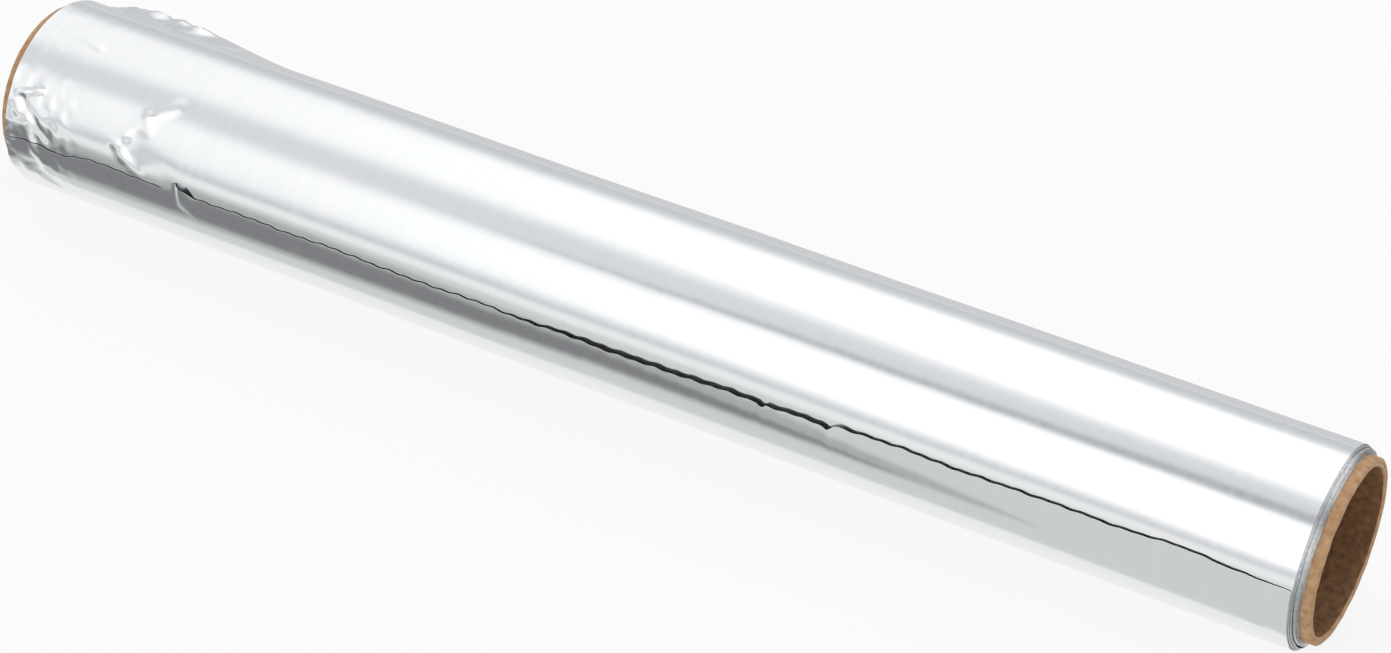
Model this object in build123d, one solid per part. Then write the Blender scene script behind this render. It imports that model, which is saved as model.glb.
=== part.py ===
from build123d import *
from math import acos, asin, cos, degrees, radians, sin, sqrt
import os

# A roll of household aluminium foil: one long foil web wound on a glued cardboard tube.
# The roll lies on its side. X runs along the core, Y across it and Z is up. The origin is on
# the surface that the roll lies on, midway along the core. All lengths are in millimetres.
# Angles are in degrees around the core, from +Y (the back) over +Z (the top) to -Y (the front).

# ---- the cardboard core ----
core_outer_radius = 19.0
core_wall = 1.8
core_left_overhang = 2.5        # how far the core sticks out of the foil at -X
core_right_overhang = 2.0       # and at +X
core_rim_break = 0.3            # the cut rims are slightly blunted

# ---- the foil ----
foil_width = 300.0              # width of the web along the core
tight_build = 1.0               # turns that are still wound tight on the core
middle_build = 0.25             # turns between the tight ones and the loose outer ones
loose_build = 0.19              # loose outer turns, where they lie on the others at the top
slack_drop = 0.5                # the loose turns' round hangs this far below the core's centre
flat_width = 6.0                # the turns are pressed flat where the roll lies on the table

# ---- slack under the roll, where the loose turns hang away from the tight ones ----
slack_gap = 0.8                 # height of the gap, straight below the core
slack_arc = 100.0               # angle that the gap spans around the core

# ---- the free end of the web ----
tail_edge_angle = 170.0         # the free edge lies at the front, above mid height, facing up
tail_lift_arc = 45.0            # the last stretch of the web lifts off over this angle
tail_gap = 0.45                 # open gap under the free edge
tail_thickness = 0.2            # thickness of the lifted stretch

# ---- the turns have drifted sideways, so their edges at +X are stepped ----
middle_stagger = 0.8            # the middle turns end this far inside the tight ones
outer_stagger = 1.8             # and the loose outer turns end this far inside them

# ---- sizes that follow from the ones above ----
core_inner_radius = core_outer_radius - core_wall
core_length = foil_width + core_left_overhang + core_right_overhang
core_left = -core_length / 2
foil_left = core_left + core_left_overhang
tight_radius = core_outer_radius + tight_build
middle_radius = tight_radius + middle_build
outline_radius = middle_radius + loose_build + slack_drop
outline_height = sqrt(outline_radius**2 - (flat_width / 2) ** 2)
axis_height = outline_height + slack_drop


def direction(angle):
    """Unit vector in the section plane at an angle around the core."""
    return Vector(cos(radians(angle)), sin(radians(angle)))


def section_plane(x):
    """Plane across the roll at x, with its origin on the core's centre line."""
    return Plane(origin=(x, 0, axis_height), x_dir=(0, 1, 0), z_dir=(1, 0, 0))


def along_core(section, x_from, x_to):
    """Extrude a section of the roll between two places along the core."""
    return extrude(section_plane(x_from) * section, amount=x_to - x_from)


def outer_outline():
    """Outline of the loose turns: a round, a flat below, and the lifted free end at the front."""
    centre = Vector(0, -slack_drop)
    flat_half_angle = degrees(asin(flat_width / 2 / outline_radius))
    flat_back_angle = 270 + flat_half_angle
    flat_front_angle = 270 - flat_half_angle

    # The lifted stretch is an arc of a larger circle, tangent to the outline where it starts.
    # The web comes up from under the roll, so it starts below the free edge.
    lift_angle = tail_edge_angle + tail_lift_arc
    tip_radius = outline_radius + tail_gap + tail_thickness
    growth = tip_radius**2 - outline_radius**2
    centre_shift = growth / (2 * (outline_radius - tip_radius * cos(radians(tail_lift_arc))))
    tail_centre = centre - direction(lift_angle) * centre_shift
    tail_radius = outline_radius + centre_shift
    under_radius = tail_radius - tail_thickness
    tip_turn = degrees(asin(tip_radius * sin(radians(tail_lift_arc)) / tail_radius))

    # It leaves the turn below it where the underside of that arc crosses the outline.
    root_cosine = (under_radius**2 - outline_radius**2 - centre_shift**2) / (
        2 * outline_radius * centre_shift
    )
    root_arc = degrees(acos(root_cosine))
    root_turn = degrees(asin(outline_radius * sin(radians(root_arc)) / under_radius))
    root_angle = lift_angle - root_arc

    round_arc = root_angle + 360 - flat_back_angle
    over_the_top = CenterArc(centre, outline_radius, flat_back_angle, round_arc)
    tail_inside = CenterArc(tail_centre, under_radius, lift_angle - root_turn, root_turn - tip_turn)
    tail_outside = CenterArc(tail_centre, tail_radius, lift_angle - tip_turn, tip_turn)
    free_edge = Line(tail_inside @ 1, tail_outside @ 0)
    down_the_front = CenterArc(centre, outline_radius, lift_angle, flat_front_angle - lift_angle)
    flat = Line(down_the_front @ 1, over_the_top @ 0)
    return make_face([over_the_top, tail_inside, free_edge, tail_outside, down_the_front, flat])


def slack_crescent():
    """Section of the gap between the tight turns and the loose ones, below the core."""
    reach = tight_radius + slack_gap
    span = cos(radians(slack_arc / 2))
    drop = (reach**2 - tight_radius**2) / (2 * (reach - tight_radius * span))
    return Pos(0, -drop) * Circle(reach - drop) - Circle(tight_radius)


def make_core():
    """Cardboard tube, cut square at both ends with slightly blunted rims."""
    wall = Circle(core_outer_radius) - Circle(core_inner_radius)
    tube = along_core(wall, core_left, core_left + core_length)
    rims = tube.edges().filter_by(GeomType.CIRCLE)
    return chamfer(rims, core_rim_break)


def make_foil():
    """All the turns of the web as one solid, open along the slack and under the free edge."""
    foil_right = foil_left + foil_width
    bore = Circle(core_outer_radius)
    tight = Circle(tight_radius) - bore
    middle = Circle(middle_radius) - bore - slack_crescent()
    loose = outer_outline() - bore - slack_crescent()
    return (
        along_core(tight, foil_left, foil_right)
        + along_core(middle, foil_left, foil_right - middle_stagger)
        + along_core(loose, foil_left, foil_right - outer_stagger)
    )


os.makedirs("parts", exist_ok=True)
export_step(make_core(), "parts/core_tube.step")
export_step(make_foil(), "parts/foil_roll.step")
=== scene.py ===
import logging
import math
from dataclasses import dataclass, field
from enum import Enum

import bmesh
import bpy
import numpy as np
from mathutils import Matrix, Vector


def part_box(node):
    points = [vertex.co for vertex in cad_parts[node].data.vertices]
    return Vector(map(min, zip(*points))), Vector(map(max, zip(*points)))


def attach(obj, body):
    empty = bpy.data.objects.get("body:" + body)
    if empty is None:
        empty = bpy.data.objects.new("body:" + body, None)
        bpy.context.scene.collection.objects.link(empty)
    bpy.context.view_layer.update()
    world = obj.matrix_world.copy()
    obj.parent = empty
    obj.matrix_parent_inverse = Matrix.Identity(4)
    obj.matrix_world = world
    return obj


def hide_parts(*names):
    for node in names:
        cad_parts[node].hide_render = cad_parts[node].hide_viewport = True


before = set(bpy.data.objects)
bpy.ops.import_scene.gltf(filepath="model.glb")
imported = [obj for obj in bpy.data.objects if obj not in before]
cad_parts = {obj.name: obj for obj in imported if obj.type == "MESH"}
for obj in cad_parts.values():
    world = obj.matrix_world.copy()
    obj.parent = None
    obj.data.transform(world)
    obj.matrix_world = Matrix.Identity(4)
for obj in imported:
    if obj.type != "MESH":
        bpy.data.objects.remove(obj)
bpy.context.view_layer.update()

# A roll of household aluminium foil on its cardboard core, lying on its side. Sizes of the
# roll's classes are millimetres, and meshes and the studio are metres. Angles are degrees around
# the core, from +Y (the back) over +Z (the top) to -Y (the front).

MM = 0.001
LOG = logging.getLogger("foil_roll")


class RollEnd(Enum):
    """The two ends of the roll, as the sign of X there."""

    LEFT = -1
    RIGHT = 1


# ---------------------------------------------------------------- colours and nodes


def srgb(code: str) -> tuple[float, float, float, float]:
    """Turn an sRGB hex colour to linear.

    Args:
        code: Six hex digits, with a leading hash.

    Returns:
        Linear red, green and blue, with an alpha of 1.
    """
    parts = [int(code[i : i + 2], 16) / 255 for i in (1, 3, 5)]
    linear = [c / 12.92 if c <= 0.04045 else ((c + 0.055) / 1.055) ** 2.4 for c in parts]
    return (linear[0], linear[1], linear[2], 1.0)


def add_node(
    tree: bpy.types.NodeTree,
    kind: str,
    settings: dict[str, object] | None = None,
    inputs: dict[str | int, object] | None = None,
) -> bpy.types.Node:
    """Add a node with its settings, values and links.

    Args:
        tree: The node tree that gets the node.
        kind: Blender's name of the node type.
        settings: Attributes of the node.
        inputs: A value or an output socket for each input, by name or index.

    Returns:
        The new node.
    """
    node = tree.nodes.new(kind)
    for name, value in (settings or {}).items():
        setattr(node, name, value)
    for key, value in (inputs or {}).items():
        if isinstance(value, bpy.types.NodeSocket):
            tree.links.new(value, node.inputs[key])
        else:
            node.inputs[key].default_value = value
    return node


def new_material(name: str) -> tuple[bpy.types.Material, bpy.types.NodeTree]:
    """Make an empty node material.

    Args:
        name: Name of the material.

    Returns:
        The material and its node tree.
    """
    material = bpy.data.materials.new(name)
    material.use_nodes = True
    material.node_tree.nodes.clear()
    return material, material.node_tree


# ---------------------------------------------------------------- finishes


@dataclass(frozen=True)
class BrightRolledFoil:
    """Household aluminium foil, cold rolled, bright side out."""

    name: str = "aluminium_foil_bright_rolled"
    colour: str = "#f1f2f3"
    oxide: str = "#ebedee"
    roughness: float = 0.16
    roughness_spread: float = 0.025
    roll_line_pitch: float = 1.2
    roll_line_length: float = 60.0
    ripple_size: float = 9.0
    line_height: float = 0.0005
    ripple_height: float = 0.012

    def build(self) -> bpy.types.Material:
        """Build the material.

        Returns:
            A mirror-like metal. Roll lines run round the roll with the web, and soft ripples
            bend its reflections.
        """
        # Bright rolled aluminium: a near mirror that takes its whites and greys from the room.
        material, tree = new_material(self.name)
        place = add_node(tree, "ShaderNodeTexCoord").outputs["Object"]
        # The real roll lines are a few hundredths of a millimetre apart. They are drawn about
        # a millimetre apart, or they would not show at all.
        line_scale = (1 / (self.roll_line_pitch * MM),) + (1 / (self.roll_line_length * MM),) * 2
        along = add_node(
            tree, "ShaderNodeMapping", inputs={"Vector": place, "Scale": line_scale}
        ).outputs[0]
        lines = add_node(
            tree, "ShaderNodeTexNoise", inputs={"Vector": along, "Scale": 1.0, "Detail": 3.0}
        )
        ripples = add_node(
            tree,
            "ShaderNodeTexNoise",
            inputs={"Vector": place, "Scale": 1 / (self.ripple_size * MM), "Detail": 2.0},
        )
        colour = add_node(
            tree,
            "ShaderNodeMix",
            {"data_type": "RGBA"},
            {0: lines.outputs["Fac"], 6: srgb(self.oxide), 7: srgb(self.colour)},
        )
        roughness = add_node(
            tree,
            "ShaderNodeMapRange",
            inputs={
                "Value": lines.outputs["Fac"],
                "From Min": 0.3,
                "From Max": 0.7,
                "To Min": self.roughness,
                "To Max": self.roughness + self.roughness_spread,
            },
        )
        wide_bump = add_node(
            tree,
            "ShaderNodeBump",
            inputs={
                "Height": ripples.outputs["Fac"],
                "Distance": self.ripple_height * MM,
                "Strength": 0.6,
            },
        )
        bump = add_node(
            tree,
            "ShaderNodeBump",
            inputs={
                "Height": lines.outputs["Fac"],
                "Distance": self.line_height * MM,
                "Strength": 0.5,
                "Normal": wide_bump.outputs[0],
            },
        )
        shader = add_node(
            tree,
            "ShaderNodeBsdfPrincipled",
            inputs={
                "Base Color": colour.outputs[2],
                "Metallic": 1.0,
                "Roughness": roughness.outputs[0],
                "Normal": bump.outputs[0],
            },
        )
        add_node(tree, "ShaderNodeOutputMaterial", inputs={"Surface": shader.outputs[0]})
        return material


@dataclass(frozen=True)
class SlitFoilEdges:
    """The slit edges of many turns of aluminium foil, seen end on."""

    name: str = "aluminium_foil_slit_edges"
    light: str = "#d9dbdc"
    dark: str = "#8d9093"
    roughness: float = 0.34
    grain: float = 0.7

    def build(self) -> bpy.types.Material:
        """Build the material.

        Returns:
            A duller metal than the web's face, broken up where single edges catch the light.
        """
        # Slit aluminium edges: a satin grey ring, duller than the face beside it.
        material, tree = new_material(self.name)
        place = add_node(tree, "ShaderNodeTexCoord").outputs["Object"]
        noise = add_node(
            tree,
            "ShaderNodeTexNoise",
            inputs={"Vector": place, "Scale": 1 / (self.grain * MM), "Detail": 4.0},
        )
        # Painted light: the noise mixes a light grey for edges that catch the light with a dark grey
        # for those in shade.
        colour = add_node(
            tree,
            "ShaderNodeMix",
            {"data_type": "RGBA"},
            {0: noise.outputs["Fac"], 6: srgb(self.dark), 7: srgb(self.light)},
        )
        shader = add_node(
            tree,
            "ShaderNodeBsdfPrincipled",
            inputs={
                "Base Color": colour.outputs[2],
                "Metallic": 1.0,
                "Roughness": self.roughness,
            },
        )
        add_node(tree, "ShaderNodeOutputMaterial", inputs={"Surface": shader.outputs[0]})
        return material


@dataclass(frozen=True)
class CoreBoard:
    """Spiral-wound core board: unbleached recycled paper, calendered, uncoated."""

    name: str
    light: str
    dark: str
    roughness: float = 0.86
    fibre_length: float = 1.6
    fleck_size: float = 0.5
    relief: float = 0.06

    def build(self) -> bpy.types.Material:
        """Build the material.

        Returns:
            A matte brown board with pale and dark fibres and small flecks of recycled paper.
        """
        # Uncoated recycled board: a dry warm brown, mottled, with no shine.
        material, tree = new_material(self.name)
        place = add_node(tree, "ShaderNodeTexCoord").outputs["Object"]
        fibres = add_node(
            tree,
            "ShaderNodeTexNoise",
            inputs={"Vector": place, "Scale": 1 / (self.fibre_length * MM), "Detail": 6.0},
        )
        flecks = add_node(
            tree,
            "ShaderNodeTexVoronoi",
            inputs={"Vector": place, "Scale": 1 / (self.fleck_size * MM)},
        )
        mottle = add_node(
            tree,
            "ShaderNodeMapRange",
            inputs={"Value": fibres.outputs["Fac"], "From Min": 0.32, "From Max": 0.68},
        )
        ground = add_node(
            tree,
            "ShaderNodeMix",
            {"data_type": "RGBA"},
            {0: mottle.outputs[0], 6: srgb(self.dark), 7: srgb(self.light)},
        )
        fleck_mask = add_node(
            tree,
            "ShaderNodeMapRange",
            inputs={
                "Value": flecks.outputs["Distance"],
                "From Min": 0.08,
                "From Max": 0.3,
                "To Min": 0.35,
                "To Max": 0.0,
            },
        )
        colour = add_node(
            tree,
            "ShaderNodeMix",
            {"data_type": "RGBA"},
            {0: fleck_mask.outputs[0], 6: ground.outputs[2], 7: srgb(self.dark)},
        )
        bump = add_node(
            tree,
            "ShaderNodeBump",
            inputs={
                "Height": fibres.outputs["Fac"],
                "Distance": self.relief * MM,
                "Strength": 0.8,
            },
        )
        shader = add_node(
            tree,
            "ShaderNodeBsdfPrincipled",
            inputs={
                "Base Color": colour.outputs[2],
                "Roughness": self.roughness,
                "Normal": bump.outputs[0],
            },
        )
        add_node(tree, "ShaderNodeOutputMaterial", inputs={"Surface": shader.outputs[0]})
        return material


LINER_BOARD = CoreBoard("core_board_kraft_liner", light="#c9a27a", dark="#a87e55")
# The bore's board is darker than the liner: partly a darker inner ply, partly painted shade for the
# dim inside of the tube.
BORE_PLY_AND_PAINTED_SHADE = CoreBoard("core_board_bore_ply_and_painted_shade", light="#92683f", dark="#664326")


# ---------------------------------------------------------------- shapes


def waves(
    x: np.ndarray, angle: np.ndarray, seed: int, length: float, lobes: int, count: int = 7
) -> np.ndarray:
    """Smooth seeded waves over the roll, without a seam around it.

    Args:
        x: Places along the core, in millimetres.
        angle: Angles around it, in degrees.
        seed: Seed of the random draws.
        length: Shortest wavelength along the core, in millimetres.
        lobes: Most lobes around the roll.
        count: Number of waves that are added.

    Returns:
        Heights between about -1 and 1.
    """
    draw = np.random.default_rng(seed)
    total = np.zeros(np.broadcast(x, angle).shape)
    for _ in range(count):
        around = draw.integers(0, lobes + 1)
        along = draw.uniform(-1.0, 1.0) / length
        shift = draw.uniform(0.0, math.tau)
        total = total + np.cos(math.tau * along * x + around * np.radians(angle) + shift)
    return total / math.sqrt(count)


def facets(
    x: np.ndarray, angle: np.ndarray, seed: int, pitch: float, radius: float, count: int = 6
) -> np.ndarray:
    """Crumpled foil: flat facets that meet in sharp creases, without a seam around the roll.

    Args:
        x: Places along the core, in millimetres.
        angle: Angles around it, in degrees.
        seed: Seed of the random draws.
        pitch: Mean distance between creases, in millimetres.
        radius: Radius of the surface, in millimetres.
        count: Number of crease directions.

    Returns:
        Heights between about -1 and 1.
    """
    draw = np.random.default_rng(seed)
    total = np.zeros(np.broadcast(x, angle).shape)
    for _ in range(count):
        heading = draw.uniform(0.0, math.pi)
        step = pitch * draw.uniform(0.8, 2.6)
        along = math.cos(heading) / step
        around = round(math.sin(heading) * math.tau * radius / step)
        phase = along * x + around * angle / 360 + draw.uniform(0.0, 1.0)
        total = total + 4 * np.abs(phase - np.floor(phase) - 0.5) - 1
    return total / math.sqrt(count)


def ramp(value: np.ndarray, start: float, end: float) -> np.ndarray:
    """Smooth step from 0 at start to 1 at end."""
    share = np.clip((value - start) / (end - start), 0.0, 1.0)
    return share * share * (3 - 2 * share)


def closed_object(
    name: str,
    points: np.ndarray,
    faces: list[list[int]],
    materials: list[bpy.types.Material],
    crease_angle: float,
    face_material: np.ndarray | None = None,
) -> bpy.types.Object:
    """Make a shaded object of a closed mesh, with its normals outwards.

    Args:
        name: Name of the object.
        points: Its points, in millimetres, in an array whose last axis is 3 long.
        faces: Corners of each face.
        materials: The materials of the piece.
        crease_angle: Faces that meet at more than this many degrees keep a sharp edge.
        face_material: Index of the material of each face, if there is more than one.

    Returns:
        The new object, linked to the scene.
    """
    mesh = bpy.data.meshes.new(name)
    mesh.from_pydata((points.reshape(-1, 3) * MM).tolist(), [], faces)
    for material in materials:
        mesh.materials.append(material)
    if face_material is not None:
        mesh.polygons.foreach_set("material_index", face_material.astype(np.int32))
    work = bmesh.new()
    work.from_mesh(mesh)
    bmesh.ops.recalc_face_normals(work, faces=work.faces)
    work.to_mesh(mesh)
    work.free()
    mesh.shade_smooth()
    mesh.set_sharp_from_angle(angle=math.radians(crease_angle))
    piece = bpy.data.objects.new(name, mesh)
    bpy.context.scene.collection.objects.link(piece)
    return piece


def grid_object(
    name: str,
    points: np.ndarray,
    materials: list[bpy.types.Material],
    row_material: np.ndarray,
    crease_angle: float,
) -> bpy.types.Object:
    """Make a closed mesh from a grid that wraps both ways.

    Args:
        name: Name of the object.
        points: Rows by columns by 3, in millimetres.
        materials: The materials of the piece.
        row_material: Index of the material between each row and the next.
        crease_angle: Faces that meet at more than this many degrees keep a sharp edge.

    Returns:
        The new object, linked to the scene.
    """
    rows, columns = points.shape[:2]
    index = np.arange(rows * columns).reshape(rows, columns)
    below = np.roll(index, -1, axis=0)
    quads = np.stack(
        [index, below, np.roll(below, -1, axis=1), np.roll(index, -1, axis=1)], axis=-1
    )
    faces = quads.reshape(-1, 4).tolist()
    face_material = np.repeat(row_material, columns)
    return closed_object(name, points, faces, materials, crease_angle, face_material)


def around_core(x: np.ndarray, radius: np.ndarray, turn: np.ndarray, height: float) -> np.ndarray:
    """Turn places along and around the core into points.

    Args:
        x: Places along the core, in millimetres.
        radius: Distances from its centre line, in millimetres.
        turn: Angles around it, in radians.
        height: Height of its centre line, in millimetres.

    Returns:
        Points in millimetres, in an array whose last axis is 3 long.
    """
    return np.stack([x, radius * np.cos(turn), height + radius * np.sin(turn)], axis=-1)


def take_over(piece: bpy.types.Object, node: str) -> bpy.types.Object:
    """Let a piece ride on the part's one body and stand for a CAD node.

    Args:
        piece: The piece.
        node: The CAD node that it replaces.

    Returns:
        The same piece.
    """
    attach(piece, "root")
    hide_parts(node)
    return piece


@dataclass(frozen=True)
class Fold:
    """A fold or a dent in the web, along a straight line on the roll."""

    start: tuple[float, float]
    end: tuple[float, float]
    height: float
    width: float
    sharp: bool = True

    def relief(self, x: np.ndarray, angle: np.ndarray, radius: float) -> np.ndarray:
        """Height that the fold adds to the web.

        Args:
            x: Places along the core, in millimetres.
            angle: Angles around it, in degrees.
            radius: Radius of the surface, in millimetres.

        Returns:
            Heights in millimetres.
        """
        arc = math.radians(radius)
        run = np.array([self.end[0] - self.start[0], (self.end[1] - self.start[1]) * arc])
        from_x = x - self.start[0]
        from_arc = (angle - self.start[1]) * arc
        share = np.clip((from_x * run[0] + from_arc * run[1]) / (run @ run), 0.0, 1.0)
        away = np.hypot(from_x - share * run[0], from_arc - share * run[1]) / self.width
        if self.sharp:
            return self.height * np.clip(1 - away, 0.0, 1.0)
        return self.height * np.exp(-(away**2))


@dataclass
class WoundFoil:
    """The turns of the web as one closed piece, with its stepped edges and the slack below."""

    tight_build: float = 1.0
    slack_drop: float = 0.5
    slack_gap: float = 0.8
    slack_half_arc: float = 50.0
    outer_stagger: float = 1.8
    middle_stagger: float = 0.8
    columns: int = 300
    fine_step: float = 0.45
    coarse_step: float = 2.2
    crumple_end: float = -128.0
    near_radius: float = 21.0
    slack_depth: float = 14.0
    loose_turns: int = 3
    tight_turns: int = 5
    edge_share: float = 0.7
    loose_groove: float = 0.7
    tight_groove: float = 0.5
    crease_angle: float = 50.0
    outline_radius: float = field(init=False)
    core_radius: float = field(init=False)
    axis_height: float = field(init=False)
    left: float = field(init=False)
    right: float = field(init=False)

    def __post_init__(self) -> None:
        """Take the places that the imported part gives."""
        low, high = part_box("foil_roll")
        core_low, core_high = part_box("core_tube")
        self.left = low.x / MM
        self.right = high.x / MM
        self.core_radius = (core_high.y - core_low.y) / 2 / MM
        self.axis_height = (core_high.z + core_low.z) / 2 / MM
        self.outline_radius = high.y / MM

    def folds(self) -> list[Fold]:
        """Folds and dents of the outer turn, placed at the crumpled end and the other one."""
        return [
            Fold((-109.2, 122.3), (-114.7, 134.8), 0.26, 2.0),
            Fold((-114.7, 134.8), (-114.2, 143.0), 0.2, 1.8),
            Fold((-115.0, 134.8), (-118.9, 148.6), 0.28, 2.0),
            Fold((-118.9, 148.6), (-121.1, 156.1), 0.28, 1.8),
            Fold((-121.1, 156.1), (-118.9, 163.0), 0.22, 1.8),
            Fold((-118.9, 163.0), (-114.7, 170.5), 0.16, 1.6),
            Fold((-116.7, 150.0), (-116.0, 158.0), -0.34, 2.8, sharp=False),
            Fold((-112.0, 157.0), (-109.0, 164.0), -0.14, 3.2, sharp=False),
            Fold((-147.8, 147.0), (-141.7, 141.0), 0.35, 1.0),
            Fold((-146.7, 148.6), (-139.4, 168.6), -0.28, 1.1),
            Fold((-145.0, 165.0), (-140.0, 187.0), 0.3, 1.6),
            Fold((-143.0, 192.0), (-138.5, 206.0), -0.5, 1.8, sharp=False),
            Fold((-147.0, 96.0), (-134.0, 104.0), 0.2, 1.2),
            Fold((-148.0, 300.0), (-136.0, 318.0), 0.3, 1.6),
            Fold((-148.0, 20.0), (-131.0, 5.0), -0.35, 2.0),
            Fold((147.2, 171.7), (145.5, 183.0), -0.3, 0.6),
            Fold((138.0, 186.0), (145.0, 172.0), 0.15, 1.0),
        ]

    def pleat(self, x: np.ndarray, angle: np.ndarray) -> np.ndarray:
        """The loosened pleat at the top of the back: wrinkled at the end, then a smooth fin.

        Args:
            x: Places along the core, in millimetres.
            angle: Angles around it, in degrees.

        Returns:
            Heights in millimetres.
        """
        rise = ramp(x, -146.0, -137.0) * (1 - ramp(x, -128.0, -96.0))
        crest = 47.0 + 4.0 * np.sin(x / 5.0) * (1 - ramp(x, -128.0, -118.0))
        front = np.clip(1 - (angle - crest) / 16.0, 0.0, 1.0)
        back = np.clip(1 - (crest - angle) / 26.0, 0.0, 1.0)
        side = np.where(angle > crest, front**2, back**1.5)
        wrinkle = facets(x, angle, 71, 3.0, self.outline_radius) * 0.3
        return rise * side * (2.4 + wrinkle * (1 - ramp(x, -125.0, -112.0)))

    def outer(self, x: np.ndarray, angle: np.ndarray) -> np.ndarray:
        """Distance of the outer turn from the core's centre line.

        Args:
            x: Places along the core, in millimetres.
            angle: Angles around it, in degrees, from 0 to 360.

        Returns:
            Radii in millimetres.
        """
        turn = np.radians(angle)
        drop = self.slack_drop
        across = drop * np.cos(turn)
        round_radius = np.sqrt(self.outline_radius**2 - across**2) - drop * np.sin(turn)
        radius = round_radius + 0.05 * waves(x, angle, 11, 70.0, 3)
        radius = radius + 0.012 * waves(x, angle, 12, 16.0, 9)

        # The web is crumpled at the left end, most of all at the front.
        near_left = 1 - ramp(x, -141.0, self.crumple_end)
        front = ramp(angle, 126.0, 146.0) * (1 - ramp(angle, 208.0, 236.0))
        crushed = near_left * (0.16 + 0.84 * front)
        radius = radius + 0.13 * crushed * facets(x, angle, 31, 3.2, self.outline_radius)
        radius = radius + 0.04 * crushed * facets(x, angle, 32, 1.6, self.outline_radius)

        # Close to the right end it has a few small creases below the free edge.
        near_right = ramp(x, 136.0, 142.0)
        low_front = ramp(angle, 165.0, 172.0) * (1 - ramp(angle, 205.0, 225.0))
        radius = radius + 0.05 * near_right * low_front * facets(x, angle, 33, 2.4, self.near_radius)
        for fold in self.folds():
            radius = radius + fold.relief(x, angle, self.outline_radius)
        radius = radius + self.pleat(x, angle)
        return self.above_floor(radius, turn)

    def above_floor(self, radius: np.ndarray, turn: np.ndarray) -> np.ndarray:
        """Press the turns flat where the roll lies.

        Args:
            radius: Radii in millimetres.
            turn: Angles in radians.

        Returns:
            Radii that stay above the surface the roll lies on.
        """
        down = np.maximum(-np.sin(turn), 1e-6)
        return np.minimum(radius, self.axis_height / down)

    def slack(self, angle: np.ndarray) -> np.ndarray:
        """Share of the slack's full height at an angle, which is 1 straight below the core."""
        return np.clip(1 - ((angle - 270.0) / self.slack_half_arc) ** 2, 0.0, 1.0)

    def stations(self) -> np.ndarray:
        """Places along the core where the outer turn has a row, closest at the left end."""
        fine = np.arange(self.left, self.crumple_end, self.fine_step)
        middle = np.arange(self.crumple_end, -92.0, self.fine_step * 1.6)
        coarse = np.arange(-92.0, 134.0, self.coarse_step)
        last = np.linspace(134.0, self.right - self.outer_stagger, 20)
        return np.concatenate([fine, middle, coarse, last])

    def end_rows(self, end: RollEnd, angle: np.ndarray) -> list[tuple[np.ndarray, np.ndarray]]:
        """Rows across the turns' edges, from the outer turn in to the core.

        Args:
            end: The end of the roll.
            angle: Angles around it, in degrees.

        Returns:
            The place along the core and the radius of each row.
        """
        sign = end.value
        edge = self.right if end is RollEnd.RIGHT else self.left
        stagger = (self.outer_stagger, self.middle_stagger) if end is RollEnd.RIGHT else (0.0, 0.5)
        outer = self.outer(np.full_like(angle, edge - sign * stagger[0]), angle)
        tight = self.core_radius + self.tight_build
        slack = self.slack(angle)
        inside = np.minimum(tight + 0.08 + slack * self.slack_gap, outer - 0.12)
        rows = []
        for k in range(self.loose_turns):
            share = np.array([k / self.loose_turns, (k + self.edge_share) / self.loose_turns])
            wobble = 0.12 * waves(np.zeros_like(angle), angle, 40 + k, 9.0, 11)
            out = stagger[0] + (stagger[1] - stagger[0]) * k / self.loose_turns
            place = edge - sign * (out + np.abs(wobble))
            for part in share:
                rows.append((place, outer + (inside - outer) * part))
            rows.append((place - sign * self.loose_groove, outer + (inside - outer) * share[1]))
        deep = 0.6 + self.slack_depth * slack
        gap_place = edge - sign * (stagger[1] + deep)
        rows.append((gap_place, inside))
        rows.append((gap_place, np.full_like(angle, tight)))
        for k in range(self.tight_turns):
            wobble = 0.1 * waves(np.zeros_like(angle), angle, 60 + k, 9.0, 13)
            place = edge - sign * (0.1 * (self.tight_turns - k) + np.abs(wobble))
            top = tight - self.tight_build * k / self.tight_turns
            bottom = tight - self.tight_build * (k + self.edge_share) / self.tight_turns
            rows.append((place, np.full_like(angle, top)))
            rows.append((place, np.full_like(angle, bottom)))
            rows.append((place - sign * self.tight_groove, np.full_like(angle, bottom)))
        rows.append((edge - sign * 0.6 + 0 * angle, np.full_like(angle, self.core_radius + 0.03)))
        return rows

    def build(self, face: bpy.types.Material, edges: bpy.types.Material) -> bpy.types.Object:
        """Build the wound turns.

        Args:
            face: Material of the web's face.
            edges: Material of its slit edges.

        Returns:
            The piece, riding on the part's body.
        """
        angle = np.arange(self.columns) * 360.0 / self.columns
        x = self.stations()
        outside = self.outer(x[:, None], angle[None, :])
        rows = [(np.full_like(angle, place), outside[i]) for i, place in enumerate(x)]
        right = self.end_rows(RollEnd.RIGHT, angle)[1:]
        left = self.end_rows(RollEnd.LEFT, angle)[:0:-1]
        rows = rows + right + left
        kind = np.ones(len(rows), int)
        kind[: len(x) - 1] = 0
        place = np.array([row[0] for row in rows])
        radius = np.array([row[1] for row in rows])
        points = around_core(place, radius, np.radians(angle)[None, :], self.axis_height)
        piece = grid_object("wound_foil", points, [face, edges], kind, self.crease_angle)
        return take_over(piece, "foil_roll")


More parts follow.
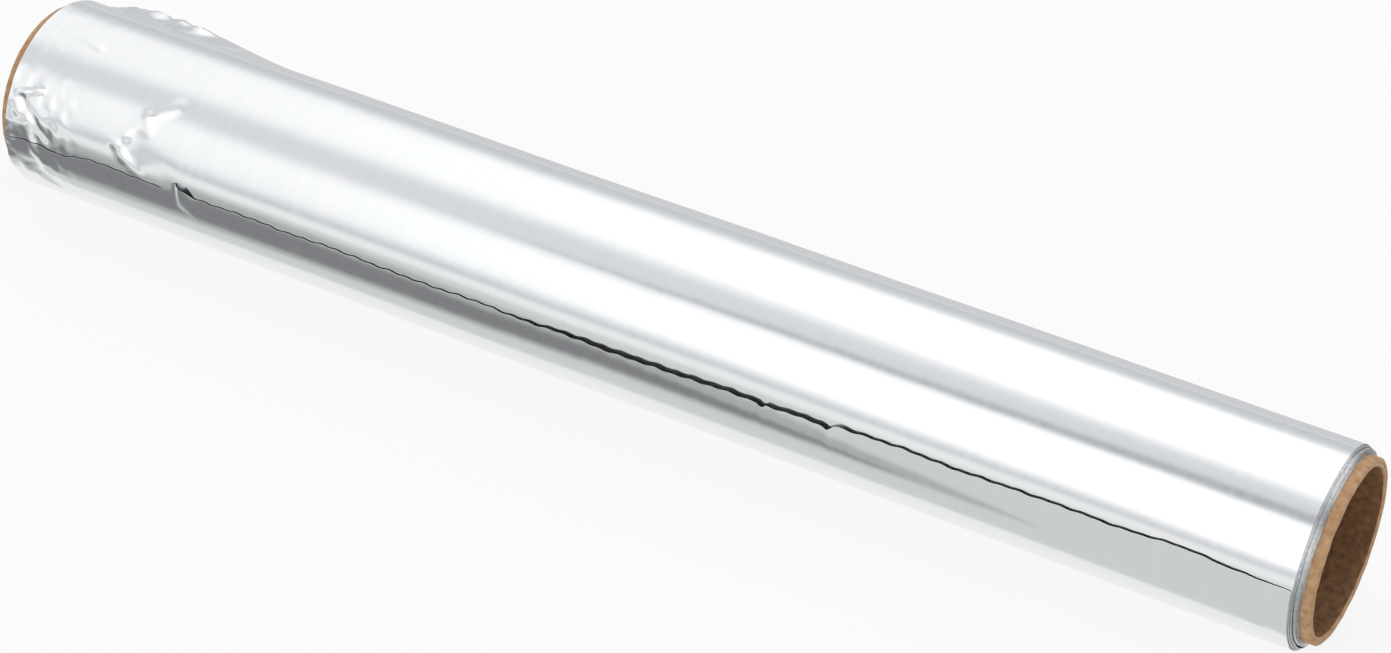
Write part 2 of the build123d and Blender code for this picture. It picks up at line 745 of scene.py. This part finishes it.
@dataclass
class FreeEnd:
    """The last stretch of the web, which comes up from under the roll and stands off it."""

    wound: WoundFoil
    thickness: float = 0.07
    lift_start: float = 215.0
    root: float = 240.0
    sunk: float = 0.1
    rows: int = 420
    steps: int = 46
    crowding: float = 1.3
    inset: float = 0.15
    edge_tear: float = 0.5
    tear_length: float = 3.5
    nick_place: float = 36.4
    nick_depth: float = 2.4
    nick_half_width: float = 1.1
    tent_place: float = -103.6
    tent_height: float = 1.1
    tent_steep_side: float = 1.6
    tent_gentle_side: float = 3.4
    tent_reach: float = 15.0
    crease_angle: float = 45.0

    def edge_angle(self, x: np.ndarray) -> np.ndarray:
        """Angle of the free edge along the roll, with its nicks.

        Args:
            x: Places along the core, in millimetres.

        Returns:
            Angles in degrees.
        """
        corners = [
            (-149, 176), (-142, 173.6), (-136, 176), (-127, 172.3), (-109, 173),
            (-104.7, 166.5), (-100, 172), (-25, 172.3), (26, 169.8), (49, 168.5),
            (51, 170.5), (52.5, 166), (78, 166.7), (128, 164.8), (148, 166.7),
        ]
        edge = np.interp(x, *zip(*corners))
        off_nick = np.abs(x - self.nick_place) / self.nick_half_width
        nick = self.nick_depth * np.clip(1 - off_nick, 0.0, 1.0)
        tear = self.edge_tear * waves(x, np.zeros_like(x), 81, self.tear_length, 0)
        return edge + nick + tear

    def gap(self, x: np.ndarray) -> np.ndarray:
        """Height of the open mouth under the free edge.

        Args:
            x: Places along the core, in millimetres.

        Returns:
            Heights in millimetres.
        """
        place = [-149.0, -110.0, -25.0, 0.0, 50.0, 60.0, 135.0, 148.5]
        height = [0.25, 0.22, 0.3, 1.0, 0.95, 0.6, 0.5, 0.15]
        return np.interp(x, place, height)

    def tent(self, x: np.ndarray, below: np.ndarray) -> np.ndarray:
        """The tented fold that stands on the free edge near the crumpled end.

        Args:
            x: Places along the core, in millimetres.
            below: Degrees below the free edge.

        Returns:
            Heights in millimetres.
        """
        past = x - self.tent_place
        steep = np.clip(1 + past / self.tent_steep_side, 0.0, 1.0)
        gentle = np.clip(1 - past / self.tent_gentle_side, 0.0, 1.0)
        across = np.where(past < 0, steep, gentle)
        return self.tent_height * across * np.clip(1 - below / self.tent_reach, 0.0, 1.0)

    def build(self, face: bpy.types.Material) -> bpy.types.Object:
        """Build the free end.

        Args:
            face: Material of the web's face.

        Returns:
            The piece, riding on the part's body.
        """
        wound = self.wound
        ends = wound.stations()[[0, -1]]
        x = np.linspace(ends[0] + self.inset, ends[1] - self.inset, self.rows)
        edge = self.edge_angle(x)
        share = np.linspace(0.0, 1.0, self.steps) ** self.crowding
        angle = edge[:, None] + (self.root - edge[:, None]) * share[None, :]
        place = np.broadcast_to(x[:, None], angle.shape)
        below = angle - edge[:, None]
        lifting = np.clip((self.lift_start - angle) / (self.lift_start - edge[:, None]), 0.0, 1.0)
        leaving = ramp(angle, self.root, self.lift_start) * (self.sunk + 0.02) - self.sunk
        base = wound.outer(place, angle) + leaving
        base = base + self.gap(place) * lifting**2 + self.tent(place, below)
        turn = np.radians(angle)
        inner = wound.above_floor(base, turn)
        outer = wound.above_floor(base + self.thickness, turn)
        radius = np.concatenate([outer, inner[:, ::-1]], axis=1)
        turns = np.concatenate([turn, turn[:, ::-1]], axis=1)
        along = np.repeat(x[:, None], 2 * self.steps, axis=1)
        points = around_core(along, radius, turns, wound.axis_height)
        return take_over(self.close_ends(points, face), "foil_roll")

    def close_ends(self, points: np.ndarray, face: bpy.types.Material) -> bpy.types.Object:
        """Make the sheet a closed mesh, with its two slit edges covered by narrow faces.

        Args:
            points: Rows along the core by points around the sheet's section.
            face: Material of the web's face.

        Returns:
            The new object.
        """
        rows, ring = points.shape[:2]
        index = np.arange(rows * ring).reshape(rows, ring)
        after = np.roll(index, -1, axis=1)
        quads = np.stack([index[:-1], after[:-1], after[1:], index[1:]], axis=-1)
        faces = quads.reshape(-1, 4).tolist()
        for row in (0, rows - 1):
            for k in range(ring // 2 - 1):
                near = [row * ring + k, row * ring + k + 1]
                far = [row * ring + ring - 2 - k, row * ring + ring - 1 - k]
                faces.append(near + far)
        return closed_object("free_end", points, faces, [face], self.crease_angle)


@dataclass
class CoreTube:
    """The spiral-wound cardboard tube, with its slightly ragged cut rims."""

    wall: float = 1.8
    rim_break: float = 0.3
    ply_lead: float = 62.0
    seam_width: float = 0.012
    seam_depth: float = 0.12
    ragged: float = 0.07
    columns: int = 220
    inner_rows: int = 170
    crease_angle: float = 40.0

    def build(self, liner: bpy.types.Material, inner: bpy.types.Material) -> bpy.types.Object:
        """Build the tube.

        Args:
            liner: Material of the outside and the rims.
            inner: Material of the bore: a darker inner ply with painted shade for the dim inside of
                the tube.

        Returns:
            The piece, riding on the part's body.
        """
        low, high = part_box("core_tube")
        left, right = low.x / MM, high.x / MM
        outside = (high.y - low.y) / 2 / MM
        bore = outside - self.wall
        height = (high.z + low.z) / 2 / MM
        angle = np.arange(self.columns) * 360.0 / self.columns
        zero = np.zeros_like(angle)
        rows = []
        for end in (RollEnd.LEFT, RollEnd.RIGHT):
            sign = end.value
            edge = left if end is RollEnd.LEFT else right
            cut = self.ragged * np.abs(waves(zero, angle, 90 + sign, 5.0, 17))
            fray = 0.05 * waves(zero, angle, 95 + sign, 5.0, 23)
            rim = [
                (edge - sign * 5.0 + zero, outside + zero),
                (edge - sign * (self.rim_break + cut), outside + zero),
                (edge - sign * cut, outside - self.rim_break + zero),
                (edge - sign * cut, (outside + bore) / 2 + 0.06 + zero),
                (edge - sign * (cut + 0.12), (outside + bore) / 2 + zero),
                (edge - sign * (cut + 0.02), (outside + bore) / 2 - 0.06 + zero),
                (edge - sign * cut, bore + self.rim_break + fray),
                (edge - sign * (cut + self.rim_break), bore + np.abs(fray)),
            ]
            rows = rim[::-1] + rows if end is RollEnd.LEFT else rows + rim
        outer_rows = len(rows)
        for x in np.linspace(right - 1.2, left + 1.2, self.inner_rows):
            turn = x / self.ply_lead + angle / 360
            seam = np.abs(turn - np.round(turn)) / self.seam_width
            groove = self.seam_depth * np.clip(1 - seam, 0.0, 1.0)
            rows.append((x + zero, bore + groove))
        # The bore's rows take the darker board, whose colour holds painted shade.
        kind = np.zeros(len(rows), int)
        kind[outer_rows - 1 :] = 1
        place = np.array([row[0] for row in rows])
        radius = np.array([row[1] for row in rows])
        points = around_core(place, radius, np.radians(angle)[None, :], height)
        piece = grid_object("core_board_tube", points, [liner, inner], kind, self.crease_angle)
        return take_over(piece, "core_tube")


# ---------------------------------------------------------------- studio


@dataclass
class Studio:
    """A pale floor, two soft boxes, glowing cards that paint reflections, a pale room and the
    camera. Its sizes are metres.
    """

    floor_size: float = 8.0
    box_distance: float = 1.5
    box_length: float = 4.5
    overhead_angle: float = 58.0
    overhead_spread: float = 42.0
    front_angle: float = 146.0
    front_spread: float = 32.0
    floor_glow: float = 0.84
    brightness: float = 0.8
    panel_glow: float = 1.45
    edge_fade: float = 0.45
    camera_place: tuple[float, float, float] = (0.3068, -0.5272, 0.5221)
    camera_back: tuple[float, float, float] = (0.3777, -0.6697, 0.6394)
    lens: float = 99.63

    def seen_directly(self, tree: bpy.types.NodeTree) -> bpy.types.NodeSocket:
        """Socket that is 1 for camera, glossy and transmission rays.

        Args:
            tree: The node tree that gets the nodes.

        Returns:
            The output socket.
        """
        path = add_node(tree, "ShaderNodeLightPath")
        first = add_node(
            tree,
            "ShaderNodeMath",
            {"operation": "MAXIMUM"},
            {0: path.outputs["Is Camera Ray"], 1: path.outputs["Is Glossy Ray"]},
        )
        both = add_node(
            tree,
            "ShaderNodeMath",
            {"operation": "MAXIMUM"},
            {0: first.outputs[0], 1: path.outputs["Is Transmission Ray"]},
        )
        return both.outputs[0]

    def build_floor(self) -> None:
        """A pale floor that reads white, and still takes the roll's shadow."""
        half = self.floor_size / 2
        corners = [(-half, -half, 0), (half, -half, 0), (half, half, 0), (-half, half, 0)]
        mesh = bpy.data.meshes.new("floor")
        mesh.from_pydata(corners, [], [(0, 1, 2, 3)])
        material, tree = new_material("floor_white_card")
        card = add_node(tree, "ShaderNodeBsdfDiffuse", inputs={"Color": srgb("#eeeeee")})
        glow = add_node(tree, "ShaderNodeEmission", inputs={"Strength": 1.0})
        share = add_node(
            tree,
            "ShaderNodeMath",
            {"operation": "MULTIPLY"},
            {0: self.seen_directly(tree), 1: self.floor_glow},
        )
        mix = add_node(
            tree,
            "ShaderNodeMixShader",
            inputs={0: share.outputs[0], 1: card.outputs[0], 2: glow.outputs[0]},
        )
        add_node(tree, "ShaderNodeOutputMaterial", inputs={"Surface": mix.outputs[0]})
        mesh.materials.append(material)
        floor = bpy.data.objects.new("floor", mesh)
        bpy.context.scene.collection.objects.link(floor)

    def build_reflection_card(self, name: str, corners: list[tuple[float, float, float]], grey: str) -> None:
        """A glowing card that shows only in reflections: a painted reflection, which lights nothing
        and casts no shadow.

        Args:
            name: Name of the card.
            corners: Its four corners, in metres.
            grey: Its colour.
        """
        mesh = bpy.data.meshes.new(name)
        mesh.from_pydata(corners, [], [(0, 1, 2, 3)])
        material, tree = new_material(name)
        glow = add_node(tree, "ShaderNodeEmission", inputs={"Color": srgb(grey)})
        add_node(tree, "ShaderNodeOutputMaterial", inputs={"Surface": glow.outputs[0]})
        mesh.materials.append(material)
        card = bpy.data.objects.new(name, mesh)
        bpy.context.scene.collection.objects.link(card)
        card.visible_camera = False
        card.visible_diffuse = False
        card.visible_shadow = False

    def build_painted_reflections(self) -> None:
        """Painted reflections: a grey card between the soft boxes, dark ones low at the front left,
        pale ones below.
        """
        reach = 0.9

        def at(x: float, angle: float) -> tuple[float, float, float]:
            """Point at an angle around the roll."""
            turn = math.radians(angle)
            return (x, reach * math.cos(turn), reach * math.sin(turn))

        # A glowing grey card, seen only in the foil: a painted grey band between the reflections of
        # the soft boxes.
        between = [at(-0.42, 119.5), at(0.9, 122.0), at(0.9, 95.0), at(-0.42, 116.5)]
        self.build_reflection_card("painted_reflection_between_boxes", between, "#adb0b5")
        # Glowing dark grey cards on the floor, seen only in the foil: a painted dark reflection low
        # at the front left.
        low = [(-0.24, -0.031, 0.0006), (0.06, -0.0355, 0.0006)]
        low = low + [(0.06, -0.0360, 0.0006), (-0.24, -0.084, 0.0006)]
        self.build_reflection_card("painted_reflection_low_left", low, "#828385")
        soft = [(-0.26, -0.025, 0.0003), (0.09, -0.0345, 0.0003)]
        soft = soft + [(0.09, -0.0350, 0.0003), (-0.26, -0.150, 0.0003)]
        self.build_reflection_card("painted_reflection_low_left_edge", soft, "#b4b6b5")
        # Glowing pale grey cards on the floor, seen only in the foil: painted floor shade in its
        # reflections, greyer than the white floor.
        front = [(-0.6, -0.0225, 0.0002), (0.4, -0.0225, 0.0002)]
        front = front + [(0.4, -0.16, 0.0002), (-0.6, -0.16, 0.0002)]
        self.build_reflection_card("painted_reflection_floor_front", front, "#d6dad8")
        back = [(-0.9, 0.03, 0.0002), (0.4, 0.03, 0.0002), (0.4, 0.9, 0.0002), (-0.9, 0.9, 0.0002)]
        self.build_reflection_card("painted_reflection_floor_back", back, "#d3d4d6")

    def panel_material(self, name: str) -> bpy.types.Material:
        """Glowing cloth of a soft box, brightest in its middle and dimmer towards -X.

        Args:
            name: Name of the material.

        Returns:
            The material, which fades out at the edges of a panel that spans -1 to 1.
        """
        material, tree = new_material(name)
        place = add_node(tree, "ShaderNodeTexCoord").outputs["Object"]
        axes = add_node(tree, "ShaderNodeSeparateXYZ", inputs={0: place})
        across = add_node(
            tree, "ShaderNodeMath", {"operation": "ABSOLUTE"}, {0: axes.outputs["Y"]}
        )
        edge = add_node(
            tree,
            "ShaderNodeMapRange",
            {"interpolation_type": "SMOOTHSTEP"},
            {"Value": across.outputs[0], "From Min": 1.0, "From Max": self.edge_fade},
        )
        side = add_node(
            tree,
            "ShaderNodeMapRange",
            {"interpolation_type": "SMOOTHSTEP"},
            {"Value": axes.outputs["X"], "From Min": -0.52, "From Max": 0.0, "To Min": 0.4},
        )
        share = add_node(
            tree,
            "ShaderNodeMath",
            {"operation": "MULTIPLY"},
            {0: edge.outputs[0], 1: side.outputs[0]},
        )
        clear = add_node(tree, "ShaderNodeBsdfTransparent")
        glow = add_node(tree, "ShaderNodeEmission", inputs={"Strength": self.panel_glow})
        mix = add_node(
            tree,
            "ShaderNodeMixShader",
            inputs={0: share.outputs[0], 1: clear.outputs[0], 2: glow.outputs[0]},
        )
        add_node(tree, "ShaderNodeOutputMaterial", inputs={"Surface": mix.outputs[0]})
        return material

    def build_soft_box(self, name: str, angle: float, spread: float) -> None:
        """An area lamp at an angle around the roll, with the panel that the foil reflects.

        Args:
            name: Name of the lamp.
            angle: Angle around the roll, in degrees.
            spread: Half the angle that it covers, in degrees.
        """
        width = 2 * self.box_distance * math.tan(math.radians(spread))
        lamp = bpy.data.lights.new(name, "AREA")
        lamp.shape = "RECTANGLE"
        lamp.size = self.box_length
        lamp.size_y = width
        lamp.energy = math.pi * self.brightness * self.box_length * width
        mesh = bpy.data.meshes.new(name + "_panel")
        mesh.from_pydata([(-1, -1, 0), (1, -1, 0), (1, 1, 0), (-1, 1, 0)], [], [(0, 1, 2, 3)])
        mesh.materials.append(self.panel_material(name + "_cloth"))
        box = bpy.data.objects.new(name, lamp)
        panel = bpy.data.objects.new(name + "_panel", mesh)
        turn = math.radians(angle)
        away = Vector((0.0, math.cos(turn), math.sin(turn)))
        for item in (box, panel):
            item.location = away * self.box_distance
            item.rotation_euler = (turn - math.pi / 2, 0.0, 0.0)
            bpy.context.scene.collection.objects.link(item)
        box.visible_glossy = False
        panel.scale = (self.box_length / 2, width / 2, 1.0)
        panel.visible_camera = False
        panel.visible_diffuse = False
        panel.visible_shadow = False

    def build_world(self) -> None:
        """A pale room that is greyer towards the horizon."""
        world = bpy.data.worlds.new("pale_room")
        world.use_nodes = True
        tree = world.node_tree
        tree.nodes.clear()
        way = add_node(tree, "ShaderNodeTexCoord").outputs["Generated"]
        up = add_node(tree, "ShaderNodeSeparateXYZ", inputs={0: way}).outputs["Z"]
        height = add_node(
            tree,
            "ShaderNodeMapRange",
            inputs={"Value": up, "From Min": -0.05, "From Max": 0.55},
        )
        colour = add_node(
            tree,
            "ShaderNodeMix",
            {"data_type": "RGBA"},
            {0: height.outputs[0], 6: srgb("#c6c8cb"), 7: srgb("#e4e5e7")},
        )
        seen = self.seen_directly(tree)
        strength = add_node(
            tree,
            "ShaderNodeMapRange",
            inputs={"Value": seen, "To Min": 0.42, "To Max": 1.0},
        )
        sky = add_node(
            tree,
            "ShaderNodeBackground",
            inputs={"Color": colour.outputs[2], "Strength": strength.outputs[0]},
        )
        add_node(tree, "ShaderNodeOutputWorld", inputs={"Surface": sky.outputs[0]})
        bpy.context.scene.world = world

    def build_camera(self) -> None:
        """The camera, looking down along the roll from its right."""
        data = bpy.data.cameras.new("camera")
        data.lens = self.lens
        data.sensor_width = 36.0
        data.clip_end = 50.0
        camera = bpy.data.objects.new("camera", data)
        camera.location = self.camera_place
        camera.rotation_euler = Vector(self.camera_back).to_track_quat("Z", "Y").to_euler()
        bpy.context.scene.collection.objects.link(camera)
        bpy.context.scene.camera = camera

    def build(self) -> None:
        """Set up the whole studio."""
        bpy.context.scene.view_settings.view_transform = "Standard"
        self.build_camera()
        self.build_world()
        self.build_floor()
        self.build_painted_reflections()
        self.build_soft_box("soft_box_overhead", self.overhead_angle, self.overhead_spread)
        self.build_soft_box("soft_box_front", self.front_angle, self.front_spread)


def main() -> None:
    """Build the roll and the studio, and log each piece."""
    logging.basicConfig(level=logging.INFO, format="%(name)s: %(message)s")
    Studio().build()
    face = BrightRolledFoil().build()
    edges = SlitFoilEdges().build()
    wound = WoundFoil()
    pieces = [
        wound.build(face, edges),
        FreeEnd(wound).build(face),
        CoreTube().build(LINER_BOARD.build(), BORE_PLY_AND_PAINTED_SHADE.build()),
    ]
    for piece in pieces:
        LOG.info("%s: %d faces", piece.name, len(piece.data.polygons))


if __name__ == "__main__":
    main()
